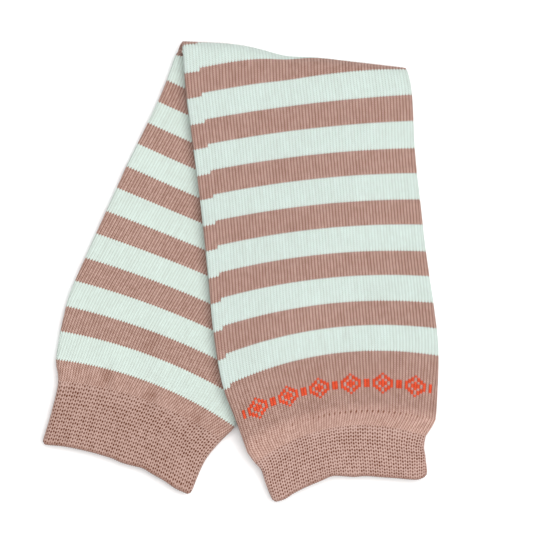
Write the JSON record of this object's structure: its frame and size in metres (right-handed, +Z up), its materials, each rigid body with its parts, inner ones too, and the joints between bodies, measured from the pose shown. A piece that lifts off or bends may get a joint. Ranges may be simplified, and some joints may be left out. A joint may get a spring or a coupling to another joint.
{
  "type": "pair of leg warmers",
  "caption": "Pair of striped knitted leg warmers with ribbed cuffs, laid flat one on the other and folded together once across the middle.",
  "frame": {"origin": "middle of the folded pair's bounding box, on the surface that it lies on", "axes": "+Z up from the surface that the pair lies on; +Y along its length, from the hems to the fold; +X to the right as seen from above"},
  "size_m": [0.1492, 0.1723, 0.0111],
  "materials": {
    "leg_knit": "soft cotton jersey in pale mint and dusty rose stripes",
    "cuff_knit": "ribbed cotton knit in dusty rose"
  },
  "bodies": {
    "root": {"outer_leg": "leg_knit", "inner_leg": "leg_knit", "outer_front_cuff": "cuff_knit", "outer_back_cuff": "cuff_knit", "inner_front_cuff": "cuff_knit", "inner_back_cuff": "cuff_knit"}
  },
  "joints": []
}
